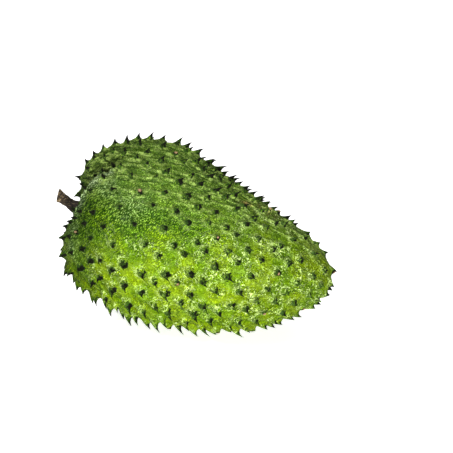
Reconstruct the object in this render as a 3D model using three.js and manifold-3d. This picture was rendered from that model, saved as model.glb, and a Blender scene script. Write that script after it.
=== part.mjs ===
// Soursop (Annona muricata): one whole fruit lying on its side, with its woody stem.
// Millimetres, +Z up. +X points to the blossom end, the stem leaves at -X, and the
// fruit rests on a small pressed spot at z = 0.

import * as THREE from 'three';
import { ConvexHull } from 'three/addons/math/ConvexHull.js';
import Module from 'manifold-3d';

// ---------------------------------------------------------------- dimensions

// The body is a smooth blend of rounded lobes. Each has its middle, its half lengths
// along X, Y and Z, how far it leans sideways and upward per mm of X, and its taper
// toward the blossom end.
const LOBES = {
  belly: { at: [4.3, -12.5, -10], half: [90, 52.5, 59], lean: [-0.04, -0.018], taper: 0.11 },
  back: { at: [-8.8, -4.7, -2], half: [90.2, 51, 47], lean: [-0.05, -0.187], taper: 0.163 },
  shoulder: { at: [-33.7, -11, -14.3], half: [51, 55, 56], lean: [0, 0], taper: 0 },
  cheek: { at: [-64.4, -25, -24], half: [34, 31.8, 32], lean: [0, 0], taper: 0 },
  crest: { at: [-41, 14.5, 16], half: [52, 42, 40.3], lean: [0, 0], taper: 0 },
  blossomEnd: { at: [57.7, -9.3, -4], half: [54, 32.5, 33], lean: [0, 0], taper: 0.04 },
  underside: { at: [-5.8, 11.5, -18.6], half: [83.2, 49, 50.4], lean: [-0.08, 0.075], taper: 0.155 },
  brow: { at: [-64, -3, 0], half: [27, 15, 13], lean: [0, 0], taper: 0 },
};
const BLEND = 9;                 // higher is a tighter blend between the lobes
const FARTHEST = 170;            // no part of the body is farther than this from its middle

const INCLINE = 9;               // degrees that the blossom end dips below level
const LIFT = 70;                 // height of the body's middle above the floor
const CENTRE_X = 4.64;           // moves the whole part so that its box is centred
const CENTRE_Y = 3.24;

// The cavity that the stem stands in.
const CAVITY_Y = 6;
const CAVITY_Z = -9;
const CAVITY_WIDTH = 20;
const CAVITY_DEPTH = 0.15;       // as a share of the body's reach
const CAVITY_DEEPENS_OVER_X = [0, -60];

// The valley that parts the two lobes of the stem end. Its line climbs through one point,
// with a steep wall in front of it and an easier one behind.
const VALLEY_Y = -23.5;
const VALLEY_Z = 20;
const VALLEY_ANGLE = 99;         // degrees above the front
const VALLEY_DEPTH = 0.13;
const VALLEY_BEFORE = 3.5;
const VALLEY_BEHIND = 8;
const VALLEY_DEEPENS_OVER_X = [-62, -76];
const VALLEY_BEGINS = [-30, -4]; // mm along it
const VALLEY_BEND = 0.02;        // sideways per squared mm, on its way down to the stem

// The soft spines.
const SPINE_COUNT = 440;
const SPINE_HEIGHT = 7;
const SPINE_VARIES = 0.4;        // spread of heights, as a share of the height
const TALLER_BELOW = 0.15;       // added share of height where the skin faces down
const SHORTER_AT_BLOSSOM = 0.5;  // share of height lost toward the blossom end
const BLOSSOM_OVER_X = [20, 100];
const SHORTER_AT_STEM = 0.3;     // and toward the stem end
const STEM_OVER_X = [-55, -95];
const SPINE_FOOT = 5.4;          // radius of the flared foot
const SPINE_FLARE_ABOVE = 3.4;   // how quickly the foot narrows into the spike, on top
const SPINE_FLARE_BELOW = 1.7;   // and on the skin that faces sideways or down
const FLARE_EASES_OVER_UP = [0.5, -0.4];
const HOOK_AT_STEM = 0.4;        // how far the tip is carried along, as a share of the height
const HOOK_AT_BLOSSOM = 0.65;
const HOOK_GROWS_OVER_X = [-100, 20];
const HOOK_GROWS_BELOW = 1.5;    // low spines hook this many times as far
const HOOK_VARIES = 0.4;
const WORN_SHARE = 0.06;         // this share of the spines has lost its tip
const WORN_AT = 0.5;             // and ends at this share of its height
const SPINE_SHORTEST = 1;        // anything lower is pressed flat
const SPINE_CLEARANCE = 0.5;     // gap under the tips next to the pressed spot
const HOOK_DRIFT_ABOVE = [1, 0, 0.12];  // the way the tips are carried, high on the fruit
const HOOK_DRIFT_BELOW = [1, 0, -0.3];  // and low on it
const HOOK_TURNS_OVER_Z = [35, -5];
const STEM_END_CROWDING = 0.1;   // shifts the spines toward the stem end
const LOW_CROWDING = 0.22;       // and toward the low front
const LOW_FRONT = 225;           // degrees round the fruit, from +Y by way of +Z
const SEAT_SHIFT_ALONG = 0.02;   // how far a seat strays from its place on the spiral
const SEAT_SHIFT_ROUND = 0.12;
const CHEEK_AT = [-0.42, -0.83, 0.36];  // the swollen cheek, where the spines stand apart
const CHEEK_SPREAD = 0.38;
const CHEEK_WIDTH = 0.5;
const BARE_ROUND_STEM = 13;      // no spines nearer to the stem than this
const SEED = 2306;

// The stem's line and its radius, from its root in the fruit to its slanted cut end.
const STEM_LINE = [
  [-88, 9, -10],
  [-96, 8.3, -11.5],
  [-105, 7, -12],
  [-114, 5, -8.5],
  [-123, 3, -3.5],
];
const STEM_RADIUS = [4.8, 5.2, 5, 4, 4.9];
const STEM_RINGS = 18;
const STEM_SIDES = 14;
const STEM_SLANT = -2.2;         // how far the cut end leans
const STEM_FLATTEN = 0.78;       // the cut end is narrower across than up and down
const STEM_SOCKET_GAP = 0.4;

// How the fruit's mesh is laid out: on a plain egg of these half lengths, with rings of
// points round each spine and in the cavity (radius and count) and filling between them.
const EGG = [106, 60, 62];
const SPINE_RINGS = { tight: [0.8, 4], middle: [2.2, 4], wide: [5.2, 5] };
const CAVITY_RINGS = [[0, 1], [6, 8], [11, 13], [16, 18]];
const CAVITY_FLOOR_X = -92;
const RING_SPACING = 3.2;        // ring points nearer than this to another are left out
const FILL_COUNT = 2900;
const FILL_SPACING = 3.9;

// ---------------------------------------------------------------- small helpers

function randomSource(seed) {
  let state = seed >>> 0;
  return function next() {
    state = (state + 0x6D2B79F5) >>> 0;
    let mixed = Math.imul(state ^ (state >>> 15), state | 1);
    mixed ^= mixed + Math.imul(mixed ^ (mixed >>> 7), mixed | 61);
    return ((mixed ^ (mixed >>> 14)) >>> 0) / 4294967296;
  };
}

function smooth(t) {
  const held = Math.min(Math.max(t, 0), 1);
  return held * held * (3 - 2 * held);
}

// 0 where a span begins and 1 where it ends.
function share([from, to], value) {
  return smooth((value - from) / (to - from));
}

const TILT = THREE.MathUtils.degToRad(INCLINE);

function tilted(v) {
  return v.clone().applyAxisAngle(new THREE.Vector3(0, 1, 0), TILT);
}

function placed(v) {
  return tilted(v).add(new THREE.Vector3(CENTRE_X, CENTRE_Y, LIFT));
}

// ---------------------------------------------------------------- the body

function lobeLevel(lobe, p) {
  const along = (p.x - lobe.at[0]) / lobe.half[0];
  const narrowing = 1 - lobe.taper * THREE.MathUtils.clamp(along, -1.3, 1.3);
  const middleY = lobe.at[1] + lobe.lean[0] * p.x;
  const middleZ = lobe.at[2] + lobe.lean[1] * p.x;
  const across = (p.y - middleY) / (lobe.half[1] * narrowing);
  const up = (p.z - middleZ) / (lobe.half[2] * narrowing);
  return Math.hypot(along, across, up) + 1e-9;
}

function cavityLevel(p) {
  const squared = (p.y - CAVITY_Y) ** 2 + (p.z - CAVITY_Z) ** 2;
  return CAVITY_DEPTH * Math.exp(-squared / CAVITY_WIDTH ** 2) * share(CAVITY_DEEPENS_OVER_X, p.x);
}

function valleyLevel(p) {
  const angle = THREE.MathUtils.degToRad(VALLEY_ANGLE);
  const y = p.y - VALLEY_Y;
  const z = p.z - VALLEY_Z;
  const along = -y * Math.cos(angle) + z * Math.sin(angle);
  const bend = VALLEY_BEND * Math.min(along, 0) ** 2;
  const aside = y * Math.sin(angle) + z * Math.cos(angle) - bend;
  const width = aside < 0 ? VALLEY_BEFORE : VALLEY_BEHIND;
  const fade = share(VALLEY_DEEPENS_OVER_X, p.x) * share(VALLEY_BEGINS, along);
  return VALLEY_DEPTH * Math.exp(-Math.abs(aside) / width) * fade;
}

// Below 1 inside the body, 1 on its skin and above 1 outside.
function bodyLevel(p) {
  let sum = 0;
  for (const lobe of Object.values(LOBES)) {
    sum += lobeLevel(lobe, p) ** -BLEND;
  }
  return sum ** (-1 / BLEND) + cavityLevel(p) + valleyLevel(p);
}

// The point of the skin that lies in one direction from the body's middle.
function skinPoint(direction) {
  let near = 0;
  let far = FARTHEST;
  for (let step = 0; step < 40; step += 1) {
    const middle = (near + far) / 2;
    if (bodyLevel(direction.clone().multiplyScalar(middle)) < 1) {
      near = middle;
    } else {
      far = middle;
    }
  }
  return direction.clone().multiplyScalar(near);
}

function skinNormal(p) {
  const step = 0.5;
  const slope = new THREE.Vector3();
  for (const axis of ['x', 'y', 'z']) {
    const ahead = p.clone();
    const behind = p.clone();
    ahead[axis] += step;
    behind[axis] -= step;
    slope[axis] = bodyLevel(ahead) - bodyLevel(behind);
  }
  return slope.normalize();
}

// The body's weight presses the lowest skin flat on the floor.
function pressed(p) {
  p.z = Math.max(p.z, 0);
  return p;
}

// ---------------------------------------------------------------- the spines

const GOLDEN_ANGLE = Math.PI * (3 - Math.sqrt(5));

function onSphere(x, angle) {
  const ring = Math.sqrt(Math.max(1 - x * x, 0));
  return new THREE.Vector3(x, ring * Math.cos(angle), ring * Math.sin(angle));
}

function eggDirection(onUnitSphere) {
  return onUnitSphere.clone().multiply(new THREE.Vector3(...EGG)).normalize();
}

// Spine seats follow a golden-angle spiral round the fruit, as a compound fruit's do.
function spineSeats() {
  const random = randomSource(SEED);
  const cheek = new THREE.Vector3(...CHEEK_AT).normalize();
  const lowFront = THREE.MathUtils.degToRad(LOW_FRONT);
  const seats = [];
  for (let index = 0; index < SPINE_COUNT; index += 1) {
    const t = -1 + (2 * index + 1) / SPINE_COUNT;
    const x = t - STEM_END_CROWDING * (1 - t * t) + (random() - 0.5) * SEAT_SHIFT_ALONG;
    const turn = index * GOLDEN_ANGLE + (random() - 0.5) * SEAT_SHIFT_ROUND;
    const angle = turn - LOW_CROWDING * Math.sin(turn - lowFront);
    const size = random();
    const hook = random();
    const worn = random() < WORN_SHARE;
    const seat = onSphere(THREE.MathUtils.clamp(x, -1, 1), angle);
    const away = seat.clone().sub(cheek);
    const push = CHEEK_SPREAD * Math.exp(-away.lengthSq() / CHEEK_WIDTH ** 2);
    seats.push({ at: seat.addScaledVector(away, push).normalize(), size, hook, worn });
  }
  return seats;
}

function nearStem(skin) {
  return skin.x < 0 && Math.hypot(skin.y - CAVITY_Y, skin.z - CAVITY_Z) < BARE_ROUND_STEM;
}

function varied(draw, spread) {
  return 1 + (draw - 0.5) * spread;
}

// The way along the skin that a spine's tip is carried.
function hookWayAt(skin, normal) {
  const above = new THREE.Vector3(...HOOK_DRIFT_ABOVE);
  const below = new THREE.Vector3(...HOOK_DRIFT_BELOW);
  const drift = above.lerp(below, share(HOOK_TURNS_OVER_Z, skin.z));
  return drift.addScaledVector(normal, -drift.dot(normal)).normalize();
}

// How far the tip is carried that way for each mm of height.
function hookOf(skin, way, draw) {
  const grown = share(HOOK_GROWS_OVER_X, skin.x);
  const turned = share(HOOK_TURNS_OVER_Z, skin.z);
  const longer = THREE.MathUtils.lerp(1, HOOK_GROWS_BELOW, turned);
  const reach = THREE.MathUtils.lerp(HOOK_AT_STEM, HOOK_AT_BLOSSOM, grown) * longer;
  return tilted(way).multiplyScalar(reach * varied(draw, HOOK_VARIES));
}

function heightOf(skin, up, draw) {
  const place = 1 - TALLER_BELOW * up.z;
  const lostToBlossom = SHORTER_AT_BLOSSOM * share(BLOSSOM_OVER_X, skin.x);
  const lostToStem = SHORTER_AT_STEM * share(STEM_OVER_X, skin.x);
  return SPINE_HEIGHT * place * (1 - lostToBlossom - lostToStem) * varied(draw, SPINE_VARIES);
}

// A spine by the floor is only as tall as the gap under the fruit allows.
function heightAboveFloor(height, foot, fall) {
  if (fall <= 0) {
    return height;
  }
  return Math.min(height, (foot.z - SPINE_CLEARANCE) / fall);
}

function makeSpine(seat) {
  const skin = skinPoint(eggDirection(seat.at));
  const normal = skinNormal(skin);
  const hookWay = hookWayAt(skin, normal);
  const side = new THREE.Vector3().crossVectors(normal, hookWay);
  const foot = placed(skin);
  const up = tilted(normal);
  const carry = hookOf(skin, hookWay, seat.hook);
  const height = heightAboveFloor(heightOf(skin, up, seat.size), foot, -(up.z + carry.z));
  const stands = height >= SPINE_SHORTEST && !nearStem(skin);
  const tip = seat.worn ? WORN_AT : 1;
  const eased = share(FLARE_EASES_OVER_UP, up.z);
  const flare = THREE.MathUtils.lerp(SPINE_FLARE_ABOVE, SPINE_FLARE_BELOW, eased);
  return { skin, foot, hookWay, side, up, carry, height, flare, tip, stands };
}

const SPINES = spineSeats().map(makeSpine).filter((spine) => spine.stands);

// A skin point raised by every spine whose foot covers it.
function raised(skin) {
  const base = placed(skin);
  const point = pressed(base.clone());
  for (const spine of SPINES) {
    const distance = base.distanceTo(spine.foot);
    if (distance < SPINE_FOOT) {
      const rise = Math.min((1 - distance / SPINE_FOOT) ** spine.flare, spine.tip);
      point.addScaledVector(spine.up, spine.height * rise);
      point.addScaledVector(spine.carry, spine.height * rise * rise);
    }
  }
  return point;
}

// ---------------------------------------------------------------- the fruit's mesh

function spineRing(spine, [radius, count], turn) {
  const points = [];
  for (let index = 0; index < count; index += 1) {
    const angle = (2 * Math.PI * (index + turn)) / count;
    const point = spine.skin.clone();
    point.addScaledVector(spine.hookWay, radius * Math.cos(angle));
    point.addScaledVector(spine.side, radius * Math.sin(angle));
    points.push(skinPoint(point.normalize()));
  }
  return points;
}

function clearOf(points, candidate, spacing) {
  return points.every((point) => point.distanceToSquared(candidate) > spacing * spacing);
}

function addIfClear(points, candidates, spacing) {
  for (const candidate of candidates) {
    if (clearOf(points, candidate, spacing)) {
      points.push(candidate);
    }
  }
}

function cavityPoints() {
  const points = [];
  for (const [radius, count] of CAVITY_RINGS) {
    for (let index = 0; index < count; index += 1) {
      const angle = (2 * Math.PI * index) / count;
      const y = CAVITY_Y + radius * Math.cos(angle);
      const z = CAVITY_Z + radius * Math.sin(angle);
      points.push(skinPoint(new THREE.Vector3(CAVITY_FLOOR_X, y, z).normalize()));
    }
  }
  return points;
}

function fillPoints() {
  const points = [];
  for (let index = 0; index < FILL_COUNT; index += 1) {
    const x = -1 + (2 * index + 1) / FILL_COUNT;
    points.push(skinPoint(eggDirection(onSphere(x, index * GOLDEN_ANGLE))));
  }
  return points;
}

function skinPoints() {
  const points = [];
  for (const spine of SPINES) {
    points.push(spine.skin.clone());
    points.push(...spineRing(spine, SPINE_RINGS.tight, 0));
    points.push(...spineRing(spine, SPINE_RINGS.middle, 0.5));
  }
  addIfClear(points, cavityPoints(), RING_SPACING);
  for (const spine of SPINES) {
    addIfClear(points, spineRing(spine, SPINE_RINGS.wide, 0), RING_SPACING);
  }
  addIfClear(points, fillPoints(), FILL_SPACING);
  return points;
}

// Triangles between neighbouring skin points: the hull of the same points on a sphere.
function triangulate(points) {
  const squeeze = new THREE.Vector3(...EGG);
  const onUnitSphere = points.map((point) => point.clone().divide(squeeze).normalize());
  const order = new Map(onUnitSphere.map((point, index) => [point, index]));
  const hull = new ConvexHull().setFromPoints(onUnitSphere);
  const triangles = [];
  for (const face of hull.faces) {
    let edge = face.edge;
    do {
      triangles.push(order.get(edge.head().point));
      edge = edge.next;
    } while (edge !== face.edge);
  }
  return triangles;
}

function fruitBody() {
  const skin = skinPoints();
  const positions = new Float32Array(skin.flatMap((point) => raised(point).toArray()));
  return { positions, triangles: new Uint32Array(triangulate(skin)) };
}

// ---------------------------------------------------------------- the stem

function along(values, t) {
  const scaled = t * (values.length - 1);
  const index = Math.min(Math.floor(scaled), values.length - 2);
  return THREE.MathUtils.lerp(values[index], values[index + 1], smooth(scaled - index));
}

// The stem as rings of points along its line. A margin swells it, for its socket.
function stemBody(margin) {
  const line = new THREE.CatmullRomCurve3(STEM_LINE.map((point) => new THREE.Vector3(...point)));
  const positions = [];
  const triangles = [];
  for (let ring = 0; ring <= STEM_RINGS; ring += 1) {
    const t = ring / STEM_RINGS;
    const way = line.getTangent(t);
    const across = new THREE.Vector3().crossVectors(way, new THREE.Vector3(0, 0, 1)).normalize();
    const up = new THREE.Vector3().crossVectors(across, way);
    const radius = along(STEM_RADIUS, t) + margin;
    const flatten = THREE.MathUtils.lerp(1, STEM_FLATTEN, smooth(2 * t - 1));
    const overrun = ring === 0 ? -margin : 0;
    for (let side = 0; side < STEM_SIDES; side += 1) {
      const angle = (2 * Math.PI * side) / STEM_SIDES;
      const ridge = 1 + 0.07 * Math.sin(3 * angle + 5 * t) + 0.05 * Math.sin(5 * angle - 9 * t);
      const slant = STEM_SLANT * smooth(3 * t - 2) * Math.sin(angle);
      const point = line.getPoint(t);
      point.addScaledVector(across, radius * ridge * flatten * Math.cos(angle));
      point.addScaledVector(up, radius * ridge * Math.sin(angle));
      point.addScaledVector(way, overrun - slant);
      positions.push(...placed(point).toArray());
    }
  }
  for (let ring = 0; ring < STEM_RINGS; ring += 1) {
    for (let side = 0; side < STEM_SIDES; side += 1) {
      const here = ring * STEM_SIDES + side;
      const beside = ring * STEM_SIDES + ((side + 1) % STEM_SIDES);
      triangles.push(here, beside + STEM_SIDES, beside);
      triangles.push(here, here + STEM_SIDES, beside + STEM_SIDES);
    }
  }
  closeEnd(positions, triangles, 0, false);
  closeEnd(positions, triangles, STEM_RINGS * STEM_SIDES, true);
  return { positions: new Float32Array(positions), triangles: new Uint32Array(triangles) };
}

function closeEnd(positions, triangles, first, outward) {
  const middle = positions.length / 3;
  for (let axis = 0; axis < 3; axis += 1) {
    let sum = 0;
    for (let side = 0; side < STEM_SIDES; side += 1) {
      sum += positions[(first + side) * 3 + axis];
    }
    positions.push(sum / STEM_SIDES);
  }
  for (let side = 0; side < STEM_SIDES; side += 1) {
    const here = first + side;
    const beside = first + ((side + 1) % STEM_SIDES);
    if (outward) {
      triangles.push(beside, here, middle);
    } else {
      triangles.push(here, beside, middle);
    }
  }
}

// ---------------------------------------------------------------- solids and nodes

const library = await Module();
library.setup();

function toSolid(body) {
  const mesh = new library.Mesh({
    numProp: 3,
    vertProperties: body.positions,
    triVerts: body.triangles,
  });
  return new library.Manifold(mesh);
}

function toGeometry(solid) {
  const mesh = solid.getMesh();
  const geometry = new THREE.BufferGeometry();
  geometry.setAttribute('position', new THREE.BufferAttribute(mesh.vertProperties, 3));
  geometry.setIndex(new THREE.BufferAttribute(mesh.triVerts, 1));
  geometry.computeVertexNormals();
  return geometry;
}

const fruitSolid = toSolid(fruitBody()).subtract(toSolid(stemBody(STEM_SOCKET_GAP)));
const stemSolid = toSolid(stemBody(0));

const skinMaterial = new THREE.MeshStandardMaterial({ color: 0x739530, roughness: 0.45, metalness: 0 });
const barkMaterial = new THREE.MeshStandardMaterial({ color: 0x5a4030, roughness: 0.85, metalness: 0 });

const fruit = new THREE.Mesh(toGeometry(fruitSolid), skinMaterial);
fruit.name = 'fruit';

const stem = new THREE.Mesh(toGeometry(stemSolid), barkMaterial);
stem.name = 'stem';

const soursop = new THREE.Group();
soursop.add(fruit, stem);

export default soursop;
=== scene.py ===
"""Soursop: the looks of one whole fruit and its stem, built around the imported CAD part.

Metres, +Z up. +X points to the blossom end and the stem leaves at -X. The body's shape and
the seats of its spines repeat the part's own formulas, in millimetres, on a finer mesh.
"""

import math
from itertools import combinations

import bpy
import numpy as np
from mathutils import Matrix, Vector, noise


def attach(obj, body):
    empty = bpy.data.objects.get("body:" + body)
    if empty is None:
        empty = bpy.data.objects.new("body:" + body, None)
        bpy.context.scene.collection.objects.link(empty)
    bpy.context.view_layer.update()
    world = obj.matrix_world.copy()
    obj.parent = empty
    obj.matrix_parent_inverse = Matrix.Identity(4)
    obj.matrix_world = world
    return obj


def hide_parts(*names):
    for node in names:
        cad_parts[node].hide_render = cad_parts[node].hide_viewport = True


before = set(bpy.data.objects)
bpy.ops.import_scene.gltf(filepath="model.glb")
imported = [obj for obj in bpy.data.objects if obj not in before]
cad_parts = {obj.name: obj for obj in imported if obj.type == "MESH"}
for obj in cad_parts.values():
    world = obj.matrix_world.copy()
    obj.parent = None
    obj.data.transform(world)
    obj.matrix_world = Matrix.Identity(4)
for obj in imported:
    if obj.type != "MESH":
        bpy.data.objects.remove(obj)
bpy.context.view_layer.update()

MM = 0.001

# ------------------------------------------------------------------ the body, in mm

# Each lobe: its middle, its half lengths, how far it leans sideways and upward per mm of
# X, and its taper toward the blossom end.
LOBES = {
    "belly": ((4.3, -12.5, -10), (90, 52.5, 59), (-0.04, -0.018), 0.11),
    "back": ((-8.8, -4.7, -2), (90.2, 51, 47), (-0.05, -0.187), 0.163),
    "shoulder": ((-33.7, -11, -14.3), (51, 55, 56), (0, 0), 0),
    "cheek": ((-64.4, -25, -24), (34, 31.8, 32), (0, 0), 0),
    "crest": ((-41, 14.5, 16), (52, 42, 40.3), (0, 0), 0),
    "blossom_end": ((57.7, -9.3, -4), (54, 32.5, 33), (0, 0), 0.04),
    "underside": ((-5.8, 11.5, -18.6), (83.2, 49, 50.4), (-0.08, 0.075), 0.155),
    "brow": ((-64, -3, 0), (27, 15, 13), (0, 0), 0),
}
BLEND = 9                      # higher is a tighter blend between the lobes
TAPER_ENDS = 1.3               # a lobe's taper stops this many half lengths from its middle
FARTHEST = 170                 # no part of the body is farther than this from its middle
HALVINGS = 34                  # a skin point is found by halving a span this many times
SLOPE_STEP = 0.5               # the skin's slope is measured this far to each side

INCLINE = math.radians(9)      # the blossom end dips this far below level
LIFT = 70                      # height of the body's middle above the floor
CENTRE_X = 4.64                # moves the whole part so that its box is centred
CENTRE_Y = 3.24

CAVITY_Y = 6
CAVITY_Z = -9
CAVITY_WIDTH = 20
CAVITY_DEPTH = 0.15            # as a share of the body's reach
CAVITY_DEEPENS_OVER_X = (0, -60)

# The valley parts the two lobes of the stem end.
VALLEY_Y = -23.5
VALLEY_Z = 20
VALLEY_ANGLE = math.radians(99)
VALLEY_DEPTH = 0.13
VALLEY_BEFORE = 3.5
VALLEY_BEHIND = 8
VALLEY_DEEPENS_OVER_X = (-62, -76)
VALLEY_BEGINS = (-30, -4)      # mm along it
VALLEY_BEND = 0.02             # sideways per squared mm, on its way down to the stem

# ------------------------------------------------------------------ the spines, in mm

SPINE_COUNT = 440
SPINE_HEIGHT = 7
SPINE_VARIES = 0.4             # spread of heights, as a share of the height
TALLER_BELOW = 0.15            # added share of height where the skin faces down
SHORTER_AT_BLOSSOM = 0.5       # share of height lost toward the blossom end
BLOSSOM_OVER_X = (20, 100)
SHORTER_AT_STEM = 0.3          # and toward the stem end
STEM_OVER_X = (-55, -95)
SPINE_FOOT = 5.4               # radius of the flared foot
SPINE_FLARE_ABOVE = 3.4        # how quickly the foot narrows into the spike, on top
SPINE_FLARE_BELOW = 1.7        # and on the skin that faces sideways or down
FLARE_EASES_OVER_UP = (0.5, -0.4)
HOOK_AT_STEM = 0.4             # how far the tip is carried, as a share of the height
HOOK_AT_BLOSSOM = 0.65
HOOK_GROWS_OVER_X = (-100, 20)
HOOK_GROWS_BELOW = 1.5         # low spines hook this many times as far
HOOK_VARIES = 0.4
WORN_SHARE = 0.06              # this share of the spines has lost its tip
WORN_AT = 0.5                  # and ends at this share of its height
SPINE_SHORTEST = 1             # anything lower is pressed flat
SPINE_CLEARANCE = 0.5          # gap under the tips next to the pressed spot
# The way the tips are carried, high on the fruit and low on it.
HOOK_DRIFT_ABOVE = np.array((1, 0, 0.12))
HOOK_DRIFT_BELOW = np.array((1, 0, -0.3))
HOOK_TURNS_OVER_Z = (35, -5)
STEM_END_CROWDING = 0.1        # shifts the spines toward the stem end
LOW_CROWDING = 0.22            # and toward the low front
LOW_FRONT = math.radians(225)
SEAT_SHIFT_ALONG = 0.02        # how far a seat strays from its place on the spiral
SEAT_SHIFT_ROUND = 0.12
CHEEK_AT = (-0.42, -0.83, 0.36)  # the swollen cheek, where the spines stand apart
CHEEK_SPREAD = 0.38
CHEEK_WIDTH = 0.5
BARE_ROUND_STEM = 13           # no spines nearer to the stem than this
SEED = 2306
GOLDEN_ANGLE = math.pi * (3 - math.sqrt(5))
EGG = np.array((106, 60, 62), float)  # directions are spread as on a plain egg

# ------------------------------------------------------------------ the fine mesh, in mm

ICO_STEPS = 96                 # each edge of the icosahedron is cut into this many
ICO_EDGE = 2                   # their length, where a corner has coordinates 0, 1 and golden
ROUNDING = 1e6                 # points of two faces that agree to this fineness are one
GATHER_RADIUS = 5.8            # vertices this near a spine are drawn in toward it
GATHER_POWER = 1.8

SWELL_SIZE = 13                # low swellings all over
SWELL_DEPTH = 1.0
MOUND_WIDTH = 4.6              # the skin swells up round the foot of each spine
MOUND_LOW = 1.1
MOUND_HIGH = 0.5
FOLD_LENGTH = 32               # folds that run along the fruit
FOLD_WIDTH = 5
FOLD_RADIUS = 55
FOLD_DEPTH_LOW = 0.35
FOLD_DEPTH_HIGH = 0.6
FOLD_SHARPNESS = 2.6
FOLD_AXIS_Y = -3
FOLD_AXIS_Z = -5
CLEAR_OVER = (1, 3.5)          # swellings and folds fade out this near a spine's axis
RIDGE_BACK = 17                # a ridge runs this far behind each spine
RIDGE_AHEAD = 5                # and this far ahead of it
RIDGE_WIDTH = 1.2
RIDGE_HEIGHT = 2.0
RIDGE_LOW_SHARE = 0.3          # share of a ridge's height low on the fruit
RIDGE_FADES_OUT = 3            # nothing is left of it past this many lengths and widths
SHADE_ASIDE = -2.4             # a line of painted shade runs this far below each ridge

# ------------------------------------------------------------------ where colours lie, in mm

UPPER_OVER = (0, 40)           # height where the upper lobe, darker partly by painted shade, begins and is full
UPPER_RISE = 0.35              # taken off that height for each mm toward the back
SUN_OVER = (50, -14)           # height where the bright low skin, partly painted light, begins and is full
SUN_RISE = 0.3                 # added to that height for each mm toward the blossom end
UNDER_OVER_Z = (-22, -40)      # height where the underside begins and is full
DEEP_OVER_X = (-20, -95)       # the green deepens toward the stem, partly its own colour and partly painted shade
DEEP_AT_BLOSSOM = 0.5          # and by this share at the blossom end, in painted shade
DEEP_UNDER = 0.1               # and underneath, in painted shade
RIM_ASIDE = -7                 # a pale band of painted sheen runs along the valley's rim, this far before it
RIM_REACH = 4.2
CLEFT_ASIDE = 3                # and a dark band of painted shade on its far wall
CLEFT_REACH = 7

# Patches of painted greyish sheen and of brown scuffs: the middle of each, and its radius.
SHEEN_PATCHES = [
    ((-42, -51, 34), 13), ((-66, -37, 36), 9), ((-92, -32, 8), 9), ((-90, -41, -4), 8),
    ((-86, -51, -17), 8), ((81, 1, 25), 9), ((94, -8, 18), 8),
]
SCUFFS = [((37, -12, 42), 5), ((53, -3, 36), 7)]

# The dark round a spine's axis is as wide as in the paint, times these factors: low on
# the fruit, on the cheek between, high up and underneath.
DARK_LOW = 1.42
DARK_CHEEK = 1.05
DARK_HIGH = 1.1
DARK_UNDER = 0.85
DARK_UNDER_OVER_Z = (-36, -50)
DARK_FOLLOWS_HEIGHT = (0.8, 1.15)
DARK_STRETCH_LOW = 0.95        # below 1 the dark reaches farther behind a spine than ahead
DARK_STRETCH_HIGH = 0.62
DARK_AHEAD = 0.8               # the dark of a low spine lies this far toward its tip
DARK_FARTHEST = 12             # the paint uses no distance beyond this
BEHIND_OVER = (2, -1.5)        # mm ahead of a spine's axis


# ------------------------------------------------------------------ small helpers


def random_source(seed):
    """The same 32-bit draws as the part's own source."""
    state = seed

    def multiply(a, b):
        return (a * b) & 0xFFFFFFFF

    def draw():
        nonlocal state
        state = (state + 0x6D2B79F5) & 0xFFFFFFFF
        mixed = multiply(state ^ (state >> 15), state | 1)
        mixed ^= (mixed + multiply(mixed ^ (mixed >> 7), mixed | 61)) & 0xFFFFFFFF
        return (mixed ^ (mixed >> 14)) / 4294967296

    return draw


def share(span, value):
    """0 where a span begins and 1 where it ends, with soft ends."""
    held = np.clip((value - span[0]) / (span[1] - span[0]), 0, 1)
    return held * held * (3 - 2 * held)


def between(start, end, part):
    return start + (end - start) * part


def bell(distance, reach):
    """1 at no distance, easing to 0 past the reach."""
    return np.exp(-((distance / reach) ** 2))


def unit(v):
    return v / np.linalg.norm(v, axis=-1, keepdims=True)


def tilted(v):
    """Turned so that the blossom end dips."""
    x = v[..., 0] * math.cos(INCLINE) + v[..., 2] * math.sin(INCLINE)
    z = v[..., 2] * math.cos(INCLINE) - v[..., 0] * math.sin(INCLINE)
    return np.stack((x, v[..., 1], z), axis=-1)


def placed(v):
    """Where a point of the body lies in the part's own frame, still in mm."""
    return tilted(v) + np.array((CENTRE_X, CENTRE_Y, LIFT))


def new_object(name, points, faces):
    """A smooth mesh object from points in mm."""
    mesh = bpy.data.meshes.new(name)
    mesh.from_pydata((points * MM).tolist(), [], faces)
    mesh.validate()
    mesh.shade_smooth()
    piece = bpy.data.objects.new(name, mesh)
    bpy.context.scene.collection.objects.link(piece)
    return piece


def add_floats(piece, name, values):
    """One number for each vertex, which the paint reads by its name."""
    attribute = piece.data.attributes.new(name, "FLOAT", "POINT")
    attribute.data.foreach_set("value", np.asarray(values, np.float32))


# ------------------------------------------------------------------ the body's field


def body_level(p):
    """Below 1 inside the body, 1 on its skin and above 1 outside."""
    x, y, z = p[..., 0], p[..., 1], p[..., 2]
    total = 0
    for middle, half, lean, taper in LOBES.values():
        along = (x - middle[0]) / half[0]
        narrowing = 1 - taper * np.clip(along, -TAPER_ENDS, TAPER_ENDS)
        across = (y - middle[1] - lean[0] * x) / (half[1] * narrowing)
        up = (z - middle[2] - lean[1] * x) / (half[2] * narrowing)
        total = total + (np.sqrt(along**2 + across**2 + up**2) + 1e-9) ** -BLEND
    return total ** (-1 / BLEND) + cavity_level(x, y, z) + valley_level(x, y, z)


def cavity_level(x, y, z):
    squared = (y - CAVITY_Y) ** 2 + (z - CAVITY_Z) ** 2
    depth = CAVITY_DEPTH * share(CAVITY_DEEPENS_OVER_X, x)
    return depth * np.exp(-squared / CAVITY_WIDTH**2)


def valley_place(y, z):
    """How far a point lies aside from the valley's line and along it."""
    sin, cos = math.sin(VALLEY_ANGLE), math.cos(VALLEY_ANGLE)
    y = y - VALLEY_Y
    z = z - VALLEY_Z
    along = z * sin - y * cos
    return y * sin + z * cos - VALLEY_BEND * np.minimum(along, 0) ** 2, along


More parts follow.
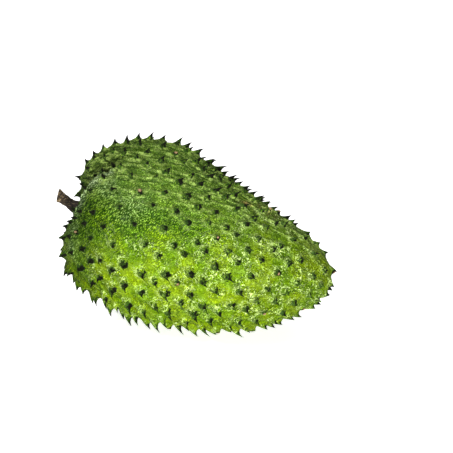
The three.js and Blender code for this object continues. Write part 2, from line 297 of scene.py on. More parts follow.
def valley_fade(x, along):
    return share(VALLEY_DEEPENS_OVER_X, x) * share(VALLEY_BEGINS, along)


def valley_level(x, y, z):
    aside, along = valley_place(y, z)
    width = np.where(aside < 0, VALLEY_BEFORE, VALLEY_BEHIND)
    return VALLEY_DEPTH * np.exp(-np.abs(aside) / width) * valley_fade(x, along)


def skin_points(directions):
    """The points of the skin that lie in these directions from the body's middle."""
    near = np.zeros(len(directions))
    far = np.full(len(directions), float(FARTHEST))
    for _ in range(HALVINGS):
        middle = (near + far) / 2
        inside = body_level(directions * middle[:, None]) < 1
        near = np.where(inside, middle, near)
        far = np.where(inside, far, middle)
    return directions * near[:, None]


def skin_normals(p):
    slope = np.empty_like(p)
    for axis in range(3):
        shift = np.zeros(3)
        shift[axis] = SLOPE_STEP
        slope[:, axis] = body_level(p + shift) - body_level(p - shift)
    return unit(slope)


# ------------------------------------------------------------------ the spines


def on_sphere(x, angle):
    ring = math.sqrt(max(1 - x * x, 0))
    return np.array((x, ring * math.cos(angle), ring * math.sin(angle)))


def spine_seats():
    """Seats on a golden-angle spiral, each with its draws for size, hook and wear."""
    draw = random_source(SEED)
    cheek = unit(np.array(CHEEK_AT))
    seats = []
    for index in range(SPINE_COUNT):
        t = -1 + (2 * index + 1) / SPINE_COUNT
        x = t - STEM_END_CROWDING * (1 - t * t) + (draw() - 0.5) * SEAT_SHIFT_ALONG
        turn = index * GOLDEN_ANGLE + (draw() - 0.5) * SEAT_SHIFT_ROUND
        angle = turn - LOW_CROWDING * math.sin(turn - LOW_FRONT)
        size = draw()
        hook = draw()
        worn = draw() < WORN_SHARE
        seat = on_sphere(min(max(x, -1), 1), angle)
        away = seat - cheek
        push = CHEEK_SPREAD * math.exp(-np.dot(away, away) / CHEEK_WIDTH**2)
        seats.append((unit(seat + away * push), size, hook, worn))
    return seats


def varied(draws, spread):
    return 1 + (draws - 0.5) * spread


def spine_carry(skin, normal, draws):
    """The way each spine's tip is carried along the skin, and by what share of its height."""
    turned = share(HOOK_TURNS_OVER_Z, skin[:, 2])
    drift = between(HOOK_DRIFT_ABOVE, HOOK_DRIFT_BELOW, turned[:, None])
    way = tilted(unit(drift - normal * (normal * drift).sum(axis=1, keepdims=True)))
    grown = share(HOOK_GROWS_OVER_X, skin[:, 0])
    reach = between(HOOK_AT_STEM, HOOK_AT_BLOSSOM, grown) * between(1, HOOK_GROWS_BELOW, turned)
    return way, way * (reach * varied(draws, HOOK_VARIES))[:, None]


def spine_heights(skin, foot, up, carry, draws):
    lost = SHORTER_AT_BLOSSOM * share(BLOSSOM_OVER_X, skin[:, 0])
    lost = lost + SHORTER_AT_STEM * share(STEM_OVER_X, skin[:, 0])
    height = SPINE_HEIGHT * (1 - TALLER_BELOW * up[:, 2]) * (1 - lost)
    height = height * varied(draws, SPINE_VARIES)
    fall = -(up[:, 2] + carry[:, 2])
    limit = (foot[:, 2] - SPINE_CLEARANCE) / np.maximum(fall, 1e-6)
    return np.where(fall > 0, np.minimum(height, limit), height)


def make_spines():
    """The spines that stand, as arrays: places, the ways up and along, and sizes."""
    at, size, hook, worn = (np.array(column) for column in zip(*spine_seats()))
    skin = skin_points(unit(at * EGG))
    normal = skin_normals(skin)
    foot = placed(skin)
    up = tilted(normal)
    way, carry = spine_carry(skin, normal, hook)
    height = spine_heights(skin, foot, up, carry, size)
    flare = between(SPINE_FLARE_ABOVE, SPINE_FLARE_BELOW, share(FLARE_EASES_OVER_UP, up[:, 2]))
    near_stem = np.hypot(skin[:, 1] - CAVITY_Y, skin[:, 2] - CAVITY_Z)
    stands = (height >= SPINE_SHORTEST) & ~((skin[:, 0] < 0) & (near_stem < BARE_ROUND_STEM))
    spines = {
        "skin": skin, "foot": foot, "up": up, "way": way, "carry": carry, "height": height,
        "flare": flare, "tip": np.where(worn, WORN_AT, 1.0),
    }
    return {name: values[stands] for name, values in spines.items()}


# ------------------------------------------------------------------ the fruit's mesh


def cut_triangle(steps):
    """A triangle whose edges are cut into steps: weights of its corners, and small faces."""
    rows = [steps + 1 - row for row in range(steps + 1)]
    starts = np.concatenate(([0], np.cumsum(rows)))
    faces = []
    for row in range(steps):
        for column in range(rows[row] - 1):
            here, above = starts[row] + column, starts[row + 1] + column
            faces.append((here, here + 1, above))
            if column < rows[row] - 2:
                faces.append((here + 1, above + 1, above))
    weights = [
        (steps - row - column, column, row)
        for row in range(steps + 1) for column in range(rows[row])
    ]
    return np.array(weights) / steps, np.array(faces)


def icosphere(steps):
    """Unit directions and triangles of an icosahedron whose edges are cut into steps."""
    golden = (1 + math.sqrt(5)) / 2
    corners = []
    for a in (-1, 1):
        for b in (-golden, golden):
            corners += [(0, a, b), (a, b, 0), (b, 0, a)]
    corners = np.array(corners)
    weights, faces = cut_triangle(steps)
    points, triangles = [], []
    for chosen in combinations(range(len(corners)), 3):
        triple = corners[list(chosen)]
        sides = np.linalg.norm(triple - np.roll(triple, 1, axis=0), axis=1)
        if np.abs(sides - ICO_EDGE).max() > 1e-6:
            continue
        if np.linalg.det(triple) < 0:
            triple = triple[[0, 2, 1]]
        triangles.append(faces + len(weights) * len(points))
        points.append(weights @ triple)
    points = unit(np.concatenate(points))
    keys = np.round(points * ROUNDING).astype(np.int64)
    _, first, back = np.unique(keys, axis=0, return_index=True, return_inverse=True)
    return points[first], back.reshape(-1)[np.concatenate(triangles)]


def gathered(skin, spines):
    """Skin points drawn in toward the nearest spine, with one on each spine's axis."""
    nearest = np.full(len(skin), np.inf)
    owner = np.zeros(len(skin), int)
    tips = []
    for index, seat in enumerate(spines["skin"]):
        distance = np.linalg.norm(skin - seat, axis=1)
        tips.append(int(distance.argmin()))
        closer = distance < nearest
        nearest[closer] = distance[closer]
        owner[closer] = index
    seats = spines["skin"][owner]
    pull = (np.minimum(nearest, GATHER_RADIUS) / GATHER_RADIUS) ** (GATHER_POWER - 1)
    moved = seats + (skin - seats) * pull[:, None]
    moved[tips] = spines["skin"]
    return skin_points(unit(moved))


def raise_spines(base, spines):
    """How far the spines carry each point, the mounds, and each point's nearest spine."""
    lift = np.zeros_like(base)
    mound = np.zeros(len(base))
    away = np.full(len(base), np.inf)
    owner = np.zeros(len(base), int)
    for index, foot in enumerate(spines["foot"]):
        distance = np.linalg.norm(base - foot, axis=1)
        near = distance < SPINE_FOOT
        shape = (1 - distance[near] / SPINE_FOOT) ** spines["flare"][index]
        shape = np.minimum(shape, spines["tip"][index])[:, None]
        rise = shape * spines["height"][index]
        lift[near] += spines["up"][index] * rise + spines["carry"][index] * rise * shape
        mound = np.maximum(mound, bell(distance, MOUND_WIDTH))
        closer = distance < away
        away[closer] = distance[closer]
        owner[closer] = index
    return lift, mound, away, owner


def swells_and_folds(skin, base):
    """Low swellings, -1 to 1, and the crests of lengthwise folds, 0 to 1."""
    swell = np.zeros(len(base))
    fold = np.zeros(len(base))
    turn = np.arctan2(skin[:, 2] - FOLD_AXIS_Z, skin[:, 1] - FOLD_AXIS_Y)
    places = np.column_stack((
        skin[:, 0] / FOLD_LENGTH,
        np.cos(turn) * FOLD_RADIUS / FOLD_WIDTH,
        np.sin(turn) * FOLD_RADIUS / FOLD_WIDTH,
    ))
    for index, (point, place) in enumerate(zip(base, places)):
        swell[index] = noise.noise(Vector(point) / SWELL_SIZE)
        warp = Vector((0, swell[index], -swell[index]))
        fold[index] = noise.noise(Vector(place) + warp)
    return swell, np.clip(1 - FOLD_SHARPNESS * np.abs(fold), 0, 1)


def ridges(base, spines, shift):
    """1 on narrow lines that run past each spine along the fruit, this far aside of it."""
    height = np.zeros(len(base))
    back, front = RIDGE_FADES_OUT * RIDGE_BACK, RIDGE_FADES_OUT * RIDGE_AHEAD
    for foot, way, up in zip(spines["foot"], spines["way"], spines["up"]):
        offset = base - foot
        ahead = offset @ way
        aside = offset @ np.cross(up, way) - shift
        near = (ahead > -back) & (ahead < front)
        near &= np.abs(aside) < RIDGE_FADES_OUT * RIDGE_WIDTH
        near &= np.abs(offset @ up) < RIDGE_BACK
        length = np.where(ahead[near] < 0, RIDGE_BACK, RIDGE_AHEAD)
        line = bell(ahead[near], length) * bell(aside[near], RIDGE_WIDTH)
        height[near] = np.maximum(height[near], line)
    return height


def upper_share(skin):
    """1 on the upper lobe and back, darker partly by painted shade, 0 on the bright lower front.
    """
    return share(UPPER_OVER, skin[:, 2] + UPPER_RISE * skin[:, 1])


def sun_share(skin):
    """1 where the rind is bright yellow green, partly by painted light, low on the fruit, 0 where
    it is deep green.
    """
    return share(SUN_OVER, skin[:, 2] - SUN_RISE * skin[:, 0])


def deep_green_and_shade(skin):
    """1 at the stem, where the green is deepest, partly by painted shade, and less at the blossom
    end and below, where it is painted shade.
    """
    deep_and_shade = share(DEEP_OVER_X, skin[:, 0]) + DEEP_AT_BLOSSOM * share(BLOSSOM_OVER_X, skin[:, 0])
    return np.minimum(deep_and_shade + DEEP_UNDER * share(UNDER_OVER_Z, skin[:, 2]), 1)


def patch_share(skin, patches):
    """1 in the middle of each round patch."""
    shares = [bell(np.linalg.norm(skin - np.array(at), axis=1), reach) for at, reach in patches]
    return np.max(shares, axis=0)


def valley_share(skin, middle, reach):
    """1 along a line beside the valley, this far aside from it."""
    aside, along = valley_place(skin[:, 1], skin[:, 2])
    return bell(aside - middle, reach) * valley_fade(skin[:, 0], along)


def darkness(base, spines, owner):
    """Distance to the nearest spine's axis, drawn out behind it, as its dark colour is.

    Also 1 on the side that the spine's tip leans away from and 0 on the other.
    """
    offset = base - spines["foot"][owner]
    way, up = spines["way"][owner], spines["up"][owner]
    ahead = (offset * way).sum(axis=1)
    aside = (offset * np.cross(up, way)).sum(axis=1)
    behind = share(BEHIND_OVER, ahead)
    upper = upper_share(spines["skin"])
    stretch = between(DARK_STRETCH_LOW, DARK_STRETCH_HIGH, upper[owner])
    ahead = ahead - DARK_AHEAD * (1 - upper[owner])
    ahead = np.where(ahead < 0, ahead * stretch, ahead)
    reach = between(DARK_CHEEK, DARK_LOW, sun_share(spines["skin"]))
    reach = between(reach, DARK_HIGH, upper)
    reach = between(reach, DARK_UNDER, share(DARK_UNDER_OVER_Z, spines["skin"][:, 2]))
    reach = reach * np.clip(spines["height"] / SPINE_HEIGHT, *DARK_FOLLOWS_HEIGHT)
    return np.minimum(np.hypot(ahead, aside) / reach[owner], DARK_FARTHEST), behind


def make_fruit():
    directions, triangles = icosphere(ICO_STEPS)
    spines = make_spines()
    skin = gathered(skin_points(unit(directions * EGG)), spines)
    base = placed(skin)
    lift, mound, away, owner = raise_spines(base, spines)
    upper = upper_share(skin)
    clear = share(CLEAR_OVER, away)
    swell, fold = swells_and_folds(skin, base)
    waves = SWELL_DEPTH * swell + between(FOLD_DEPTH_LOW, FOLD_DEPTH_HIGH, upper) * fold
    ridge = ridges(base, spines, 0) * between(RIDGE_LOW_SHARE, 1, upper)
    mounds = between(MOUND_LOW, MOUND_HIGH, upper) * mound
    relief = waves * clear + RIDGE_HEIGHT * ridge + mounds
    pressed = base.copy()
    pressed[:, 2] = np.maximum(pressed[:, 2], 0)
    points = pressed + lift + tilted(skin_normals(skin)) * relief[:, None]
    points[:, 2] = np.maximum(points[:, 2], 0)
    fruit = new_object("fruit_skin", points, triangles.tolist())
    dark, behind = darkness(base, spines, owner)
    marks = {
        "away": dark,
        "behind": behind,
        "worn": spines["tip"][owner] < 1,
        "ridge": ridge,
        "shade": ridges(base, spines, SHADE_ASIDE) * upper * (1 - ridge),
        "fold": fold * clear,
        "upper": upper,
        "sun": sun_share(skin),
        "deep_and_shade": deep_green_and_shade(skin),
        "under": share(UNDER_OVER_Z, skin[:, 2]),
        "sheen": patch_share(skin, SHEEN_PATCHES),
        "scuff": patch_share(skin, SCUFFS),
        "rim_sheen": valley_share(skin, RIM_ASIDE, RIM_REACH),
        "cleft_shade": valley_share(skin, CLEFT_ASIDE, CLEFT_REACH),
    }
    for name, values in marks.items():
        add_floats(fruit, name, values)
    return fruit


# ------------------------------------------------------------------ the stem, in mm

STEM_LINE = np.array([
    (-88, 9, -10),
    (-96, 8.3, -11.5),
    (-105, 7, -12),
    (-114, 5, -8.5),
    (-123, 3, -3.5),
], float)
STEM_RADIUS = (4.8, 5.2, 5.0, 4.0, 4.9)
STEM_SLANT = -2.2              # the cut end leans by this much at its edge
SLANTS_OVER = (2 / 3, 1)       # share of the stem's length where the slant grows
STEM_FLATTEN = 0.78            # width of the cut end, against its height
FLATTENS_OVER = (0.5, 1)
STEM_RINGS = 110
STEM_SIDES = 72
STEM_STEP = 0.01               # the stem's direction is measured over this share of it
BROAD_RIBS = {"height": 0.07, "count": 3, "twist": 5}
NARROW_RIBS = {"height": 0.05, "count": 5, "twist": -9}
BARK_ROUND = 2.2               # the bark's noise is read on a tube of this radius
BARK_ALONG = 8                 # and this length, in sizes of the noise
BARK_DEPTH = 0.8
BARK_FINER = 2.7               # a second pattern is this many times finer
BARK_FINER_DEPTH = 0.5         # and this deep against the first
BARK_DARKENS_OVER_X = (-117, -102)


def along_stem(values, t):
    """A value part way along the stem, eased from each number to the next."""
    scaled = t * (len(values) - 1)
    index = min(int(scaled), len(values) - 2)
    return between(values[index], values[index + 1], share((0, 1), scaled - index))


def stem_centre(t):
    """A point of a smooth curve through the stem's line, a Catmull-Rom spline."""
    scaled = t * (len(STEM_LINE) - 1)
    index = min(int(scaled), len(STEM_LINE) - 2)
    before = STEM_LINE[index - 1] if index else 2 * STEM_LINE[0] - STEM_LINE[1]
    has_next = index + 2 < len(STEM_LINE)
    after = STEM_LINE[index + 2] if has_next else 2 * STEM_LINE[-1] - STEM_LINE[-2]
    here, ahead = STEM_LINE[index], STEM_LINE[index + 1]
    u = scaled - index
    return 0.5 * (
        2 * here + (ahead - before) * u
        + (2 * before - 5 * here + 4 * ahead - after) * u**2
        + (3 * here - 3 * ahead + after - before) * u**3
    )


def rib(ribs, angle, t):
    return ribs["height"] * math.sin(ribs["count"] * angle + ribs["twist"] * t)


def bark_relief(angle, t):
    place = Vector((BARK_ROUND * math.cos(angle), BARK_ROUND * math.sin(angle), BARK_ALONG * t))
    finer = BARK_FINER_DEPTH * noise.noise(place * BARK_FINER)
    return BARK_DEPTH * (noise.noise(place) + finer)


def stem_ring(t):
    """The points of one ring of the stem."""
    way = unit(stem_centre(min(t + STEM_STEP, 1)) - stem_centre(max(t - STEM_STEP, 0)))
    across = unit(np.cross(way, (0, 0, 1)))
    up = np.cross(across, way)
    flatten = between(1, STEM_FLATTEN, share(FLATTENS_OVER, t))
    slant = STEM_SLANT * share(SLANTS_OVER, t)
    plain_radius = along_stem(STEM_RADIUS, t)
    points = []
    for side in range(STEM_SIDES):
        angle = 2 * math.pi * side / STEM_SIDES
        radius = plain_radius * (1 + rib(BROAD_RIBS, angle, t) + rib(NARROW_RIBS, angle, t))
        radius += bark_relief(angle, t)
        point = stem_centre(t) + across * (radius * flatten * math.cos(angle))
        points.append(point + up * (radius * math.sin(angle)) - way * slant * math.sin(angle))
    return points


def make_stem():
    points = []
    for ring in range(STEM_RINGS + 1):
        points += stem_ring(ring / STEM_RINGS)
    faces = []
    for ring in range(STEM_RINGS):
        for side in range(STEM_SIDES):
            here = ring * STEM_SIDES + side
            beside = ring * STEM_SIDES + (side + 1) % STEM_SIDES
            faces.append((here, here + STEM_SIDES, beside + STEM_SIDES, beside))
    last_ring = STEM_RINGS * STEM_SIDES
    for first, at_tip in ((0, False), (last_ring, True)):
        middle = len(points)
        points.append(sum(points[first:first + STEM_SIDES]) / STEM_SIDES)
        for side in range(STEM_SIDES):
            here, beside = first + side, first + (side + 1) % STEM_SIDES
            faces.append((beside, here, middle) if at_tip else (here, beside, middle))
    points = placed(np.array(points))
    stem = new_object("stem_bark", points, faces)
    add_floats(stem, "near", share(BARK_DARKENS_OVER_X, points[:, 0]))
    return stem


# ------------------------------------------------------------------ a kit for materials

WHOLE = (0, 1)
FALLING = (1, 0)


class Paint:
    """A material and short calls that add its nodes."""

    def __init__(self, name):
        self.material = bpy.data.materials.new(name)
        self.material.use_nodes = True
        self.tree = self.material.node_tree
        self.shader = self.tree.nodes["Principled BSDF"]
        self.place = self.add("ShaderNodeTexCoord").outputs["Object"]
        self.attributes = {}

    def add(self, kind, **settings):
        node = self.tree.nodes.new(kind)
        for name, value in settings.items():
            setattr(node, name, value)
        return node

    def feed(self, socket, value):
        if isinstance(value, bpy.types.NodeSocket):
            self.tree.links.new(value, socket)
        else:
            socket.default_value = value

    def math(self, operation, first, second=0.0):
        node = self.add("ShaderNodeMath", operation=operation)
        self.feed(node.inputs[0], first)
        self.feed(node.inputs[1], second)
        return node.outputs[0]

    def times(self, first, *others):
        for other in others:
            first = self.math("MULTIPLY", first, other)
        return first

    def plus(self, first, *others):
        for other in others:
            first = self.math("ADD", first, other)
        return first

    def span(self, value, over, to=WHOLE):
        """A value that runs over one pair of numbers, taken to another, with soft ends."""
        node = self.add("ShaderNodeMapRange", interpolation_type="SMOOTHSTEP")
        for socket, number in zip(node.inputs, (value, *over, *to)):
            self.feed(socket, number)
        return node.outputs["Result"]

    def mix(self, share_of_second, first, second, blend="MIX"):
        node = self.add("ShaderNodeMix", data_type="RGBA", blend_type=blend)
        self.feed(node.inputs["Factor"], share_of_second)
        self.feed(node.inputs[6], first)
        self.feed(node.inputs[7], second)
        return node.outputs[2]

    def stretched(self, lengths, turn=0.0):
        """Space in which a pattern is this much longer along each axis, turned about Y."""
        node = self.add("ShaderNodeMapping", vector_type="TEXTURE")
        self.feed(node.inputs["Vector"], self.place)
        node.inputs["Rotation"].default_value = (0, turn, 0)
        node.inputs["Scale"].default_value = lengths
        return node.outputs["Vector"]

    def noise(self, size_mm, detail=2.0, roughness=0.5, distortion=0.0, place=None):
        node = self.add("ShaderNodeTexNoise")
        self.feed(node.inputs["Vector"], place or self.place)
        node.inputs["Scale"].default_value = 1 / (size_mm * MM)
        node.inputs["Detail"].default_value = detail
        node.inputs["Roughness"].default_value = roughness
        node.inputs["Distortion"].default_value = distortion
        return node.outputs["Fac"]

    def cells(self, size_mm, place):
        """Distance from the middle of the nearest of many small cells, in cell sizes."""
        node = self.add("ShaderNodeTexVoronoi")
        self.feed(node.inputs["Vector"], place)
        node.inputs["Scale"].default_value = 1 / (size_mm * MM)
        return node.outputs["Distance"]

    def attribute(self, name):
        """One of the mesh's own numbers."""
        if name not in self.attributes:
            node = self.add("ShaderNodeAttribute", attribute_name=name)
            self.attributes[name] = node.outputs["Fac"]
        return self.attributes[name]

    def bump(self, height, depth_mm, under=None):
        node = self.add("ShaderNodeBump")
        self.feed(node.inputs["Height"], height)
        node.inputs["Distance"].default_value = depth_mm * MM
        if under:
            self.feed(node.inputs["Normal"], under)
        return node.outputs["Normal"]

    def finish(self, **sockets):
        for name, value in sockets.items():
            self.feed(self.shader.inputs[name.replace("_", " ")], value)
        return self.material


def colour(red, green, blue):
    return (red, green, blue, 1.0)


# ------------------------------------------------------------------ the skin's paint

# The ground greens; the bright ones low on the fruit and the darker ones above are partly painted
# light and shade.
BRIGHT_GREEN = colour(0.23, 0.42, 0.004)
YELLOW_GREEN = colour(0.33, 0.49, 0.004)
DEEP_GREEN = colour(0.10, 0.24, 0.006)
MID_GREEN = colour(0.20, 0.38, 0.006)
GREY_GREEN = colour(0.19, 0.34, 0.045)
# The pale green of the painted highlights on ridges and fold crests, also used for the streaks on
# the spines' feet.
PALE_HIGHLIGHT_AND_STREAK = colour(0.33, 0.47, 0.10)
CLEFT_SHADE = colour(0.045, 0.06, 0.012)
SHEEN_GREY = colour(0.24, 0.36, 0.13)
SCUFF_BROWN = colour(0.42, 0.27, 0.09)
RIM_SHEEN = colour(0.42, 0.54, 0.28)
# Painted highlight: the pale green of glints on the cords.
CORD_HIGHLIGHT = colour(0.74, 0.95, 0.32)
SPINE_GREEN = colour(0.015, 0.050, 0.004)
SPINE_BLACK = colour(0.003, 0.003, 0.002)
SCAR_TAN = colour(0.36, 0.23, 0.12)
WAX_TINT = colour(0.85, 1.0, 0.55)

# Tones multiply the colour under them.
DARK_TONE = colour(0.09, 0.17, 0.08)
PALE_TONE = colour(2.5, 2.3, 2.6)
SHADE_TONE = colour(0.25, 0.33, 0.25)
DEEP_AND_SHADE_TONE = colour(0.33, 0.36, 0.22)

# Sizes of the patterns in mm, and how much longer they are along each axis.
MOTTLE_SIZE = 20               # broad patches of two greens
CALM_SIZE = 9                  # patches where the fine patterns are weak or strong
LOOP_SIZE = 3.6                # looped lines
STREAK_SIZE = 2                # streaks along the fruit
STREAK_STRETCH = (4, 1, 1)
GRAIN_SIZE = 1                 # short slanted grains
GRAIN_STRETCH = (3.2, 1, 0.8)
GRAIN_SLANT = math.radians(-50)
LOOP_MIDDLE = 0.5              # the loops lie where their noise has this value

# Each OVER is the pair of a pattern's values between which a layer changes, and each SHARE
# is how strong the layer is at the two ends of the pair.
MOTTLE_OVER = (0.4, 0.6)
GREY_SHARE = 0.7
CLEFT_SHADE_SHARE = 0.95
CREST_HIGHLIGHT_OVER = (0.65, 0.9)
CREST_HIGHLIGHT_SHARE = (0.1, 0.3)       # low on the fruit and on the upper lobe
TROUGH_SHADE_OVER = (0.3, 0.0)
TROUGH_SHADE_SHARE = (0.2, 0.16)
RIDGE_HIGHLIGHT_SHARE = 0.85
SHEEN_OVER = (0.2, 0.5)
SHEEN_SHARE = (0.8, 0.2)
SCUFF_OVER = (0.44, 0.56)
RIM_OVER = (0.2, 0.6)
RIM_SHARE = (1, 0.4)
STREAK_OVER = (0.5, 0.65)
STREAK_SHARE = (0, 0.15)

CALM_OVER = (0.42, 0.58)
GRAIN_SHARE = (0.25, 0.7)      # on calm and lively skin, low on the fruit
GRAIN_SHARE_ABOVE = (1, 0.7)   # times this, low and on the upper lobe
PIT_OVER = (0.35, 0.6)
SPECK_OVER = (0.14, 0.3)
GAP_OVER = (0.08, 0.14)        # dark skin between the looped lines
GAP_SHARE = (0, 0.5)

CORD_OVER = (0.018, 0.04)
CORD_PATCH_OVER = (0.48, 0.62)
CORD_PATCH_SHARE = (0.05, 0.85)
CORD_SHARE_UNDER = (1, 0.15)
CORD_SUN_OVER = (0.05, 0.6)
CORD_SUN_SHARE = (0, 0.85)
CORD_DEEP_OVER = (0.35, 0.9)
ARC_TURNS = 3                  # arcs of cord behind a spine: their phase for each mm
ARC_WANDER = 26                # and how far the loops bend them
ARC_REACH = (5.5, 3.5)
ARC_SHARE = (0, 0.8)
ARC_OVER = (0.5, 0.9)

FOOT_REACH = (6.0, 3.5)
FOOT_SHARE = (0, 0.6)
FOOT_OVER = (0.46, 0.54)
RAGGED_OVER = (0.35, 0.65)     # the loops make a spine's dark ragged
RAGGED_BY = (-0.6, 0.7)
SPINE_GRAIN_OVER = (0.15, 0.4)
SPINE_GRAIN_SHARE = (0.9, 0)
SPINE_GREEN_REACH = (2.5, 3.1)
SPINE_GREEN_SHARE = (0.92, 0)
BLACK_SHIFT = (-0.5, 0.5)      # the black lies toward the tip
SPINE_BLACK_REACH = (1.6, 2.4)
SCAR_REACH = (0.9, 1.2)

GRAIN_BUMP_OVER = (0.1, 0.7)
GRAIN_BUMP = 0.75              # depths in mm
STREAK_BUMP = 0.5
CORD_BUMP_OVER = (0, 0.1)
CORD_BUMP = 1.0
ROUGH_OVER = (0.03, 0.07)      # the cords are smoother than the skin between them
ROUGHNESS = (0.12, 0.2)
SPINE_ROUGH_REACH = (1.5, 3.2)
SPINE_ROUGHNESS = (0.95, 0)
SPECULAR_LEVEL = 0.2


class SkinPaint(Paint):
    """The rind. Its colour is laid on in layers, from the ground up."""

    def __init__(self):
        super().__init__("soursop_skin")
        self.mottle = self.noise(MOTTLE_SIZE, detail=2.5)
        self.calm = self.noise(CALM_SIZE, detail=1.0)
        self.loops = self.noise(LOOP_SIZE, detail=0.4, distortion=1.1)
        self.off_loop = self.math("ABSOLUTE", self.math("SUBTRACT", self.loops, LOOP_MIDDLE))
        self.streaks = self.noise(STREAK_SIZE, place=self.stretched(STREAK_STRETCH))
        self.grains = self.cells(GRAIN_SIZE, self.stretched(GRAIN_STRETCH, GRAIN_SLANT))
        self.colour = None

    def lay(self, strength, top):
        self.colour = self.mix(strength, self.colour, top)

    def tone(self, strength, tone):
        self.colour = self.mix(strength, self.colour, tone, blend="MULTIPLY")

    def lay_ground(self):
        """Bright yellow green low on the fruit, and deeper greens above and at the stem, partly
        painted light and shade.
        """
        mottled = self.span(self.mottle, MOTTLE_OVER)
        bright = self.mix(mottled, BRIGHT_GREEN, YELLOW_GREEN)
        shaded = self.mix(mottled, DEEP_GREEN, MID_GREEN)
        shaded = self.mix(self.times(self.attribute("upper"), GREY_SHARE), shaded, GREY_GREEN)
        # Painted light and shade: bright low on the fruit, darker and greyer above.
        self.colour = self.mix(self.attribute("sun"), shaded, bright)
        # Deeper green toward the stem, partly painted shade, and painted shade at the blossom end
        # and underneath.
        self.tone(self.attribute("deep_and_shade"), DEEP_AND_SHADE_TONE)
        # Painted shade: a dark olive band on the valley's far wall.
        self.lay(self.times(self.attribute("cleft_shade"), CLEFT_SHADE_SHARE), CLEFT_SHADE)

    def lay_folds(self):
        """Painted highlights on the folds' crests and painted shade in their troughs, and painted
        highlights on the ridges over lines of painted shade.
        """
        upper, fold = self.attribute("upper"), self.attribute("fold")
        # The folds' relief painted in light and shade: pale crests, dark troughs.
        crest = self.times(self.span(fold, CREST_HIGHLIGHT_OVER), self.span(upper, WHOLE, CREST_HIGHLIGHT_SHARE))
        trough_shade = self.times(self.span(fold, TROUGH_SHADE_OVER), self.span(upper, WHOLE, TROUGH_SHADE_SHARE))
        self.lay(crest, PALE_HIGHLIGHT_AND_STREAK)
        self.tone(trough_shade, DARK_TONE)
        self.tone(self.attribute("shade"), SHADE_TONE)
        # Painted highlights on the ridges.
        self.lay(self.times(self.attribute("ridge"), RIDGE_HIGHLIGHT_SHARE), PALE_HIGHLIGHT_AND_STREAK)

    def lay_patches(self):
        """Painted sheen in patches, brown scuffs, painted sheen on the valley's rim, and streaks
        above.
        """
        # Painted sheen: pale grey green patches.
        by_grain = self.span(self.grains, SHEEN_OVER, SHEEN_SHARE)
        self.lay(self.times(self.attribute("sheen"), by_grain), SHEEN_GREY)
        by_streak = self.span(self.streaks, SCUFF_OVER)
        self.lay(self.times(self.attribute("scuff"), by_streak), SCUFF_BROWN)
        # Painted sheen along the rim of the valley.
        by_grain = self.span(self.grains, RIM_OVER, RIM_SHARE)
        self.lay(self.times(self.attribute("rim_sheen"), by_grain), RIM_SHEEN)
        by_streak = self.span(self.streaks, STREAK_OVER, STREAK_SHARE)
        self.tone(self.times(self.attribute("upper"), by_streak), PALE_TONE)

    def lay_grains(self):
        """Dark pits between the grains and pale specks on them, calmer low on the fruit."""
        sun = self.attribute("sun")
        calmed = self.span(self.calm, CALM_OVER, GRAIN_SHARE)
        lively = self.span(sun, WHOLE, (1, calmed))
        lively = self.times(lively, self.span(self.attribute("upper"), WHOLE, GRAIN_SHARE_ABOVE))
        pits = self.times(lively, self.span(self.grains, PIT_OVER))
        specks = self.times(lively, self.span(self.grains, SPECK_OVER, FALLING))
        self.tone(pits, DARK_TONE)
        self.tone(specks, PALE_TONE)
        between_loops = self.span(self.off_loop, GAP_OVER)
        sunny = self.span(self.span(sun, WHOLE), WHOLE, GAP_SHARE)
        self.tone(self.times(between_loops, sunny), DARK_TONE)

    def lay_cord_highlights(self):
        """Painted highlights on the cords: looped lines in patches, and broken arcs behind the
        spines.
        """
        away = self.attribute("away")
        patches = self.span(self.calm, CORD_PATCH_OVER, CORD_PATCH_SHARE)
        outside = self.span(self.attribute("under"), WHOLE, CORD_SHARE_UNDER)
        on_skin = self.times(patches, outside, self.span(self.off_loop, CORD_OVER, FALLING))
        phase = self.plus(self.times(away, ARC_TURNS), self.times(self.loops, ARC_WANDER))
        arcs = self.span(self.math("SINE", phase), ARC_OVER)
        near = self.span(away, ARC_REACH, ARC_SHARE)
        by_spine = self.times(near, self.attribute("behind"), arcs)
        highlights = self.math("MAXIMUM", by_spine, on_skin)
        sunny = self.span(self.attribute("sun"), CORD_SUN_OVER, CORD_SUN_SHARE)
        open_green = self.span(self.attribute("deep_and_shade"), CORD_DEEP_OVER, FALLING)
        # Painted highlights: pale glints on the cords, on the bright low skin.
        self.lay(self.times(highlights, sunny, open_green), CORD_HIGHLIGHT)

    def lay_spines(self):
        """Streaked feet above, ragged dark green round each spine, black tips, tan scars."""
        away = self.attribute("away")
        foot = self.times(self.span(away, FOOT_REACH, FOOT_SHARE), self.attribute("upper"))
        # Pale streaks on the spines' feet above, in the colour of the painted highlights.
        self.lay(self.times(foot, self.span(self.streaks, FOOT_OVER)), PALE_HIGHLIGHT_AND_STREAK)
        ragged = self.plus(away, self.grains, self.span(self.loops, RAGGED_OVER, RAGGED_BY))
        speckled = self.span(self.grains, SPINE_GRAIN_OVER, SPINE_GRAIN_SHARE)
        green = self.mix(speckled, SPINE_GREEN, MID_GREEN)
        self.lay(self.span(ragged, SPINE_GREEN_REACH, SPINE_GREEN_SHARE), green)
        black = self.plus(ragged, self.span(self.attribute("behind"), WHOLE, BLACK_SHIFT))
        self.lay(self.span(black, SPINE_BLACK_REACH, FALLING), SPINE_BLACK)
        scar = self.times(self.attribute("worn"), self.span(away, SCAR_REACH, FALLING))
        self.lay(scar, SCAR_TAN)

    def bumps(self):
        grain = self.bump(self.span(self.grains, GRAIN_BUMP_OVER, FALLING), GRAIN_BUMP)
        streak = self.bump(self.streaks, STREAK_BUMP, under=grain)
        cord = self.span(self.off_loop, CORD_BUMP_OVER, FALLING)
        return self.bump(cord, CORD_BUMP, under=streak)

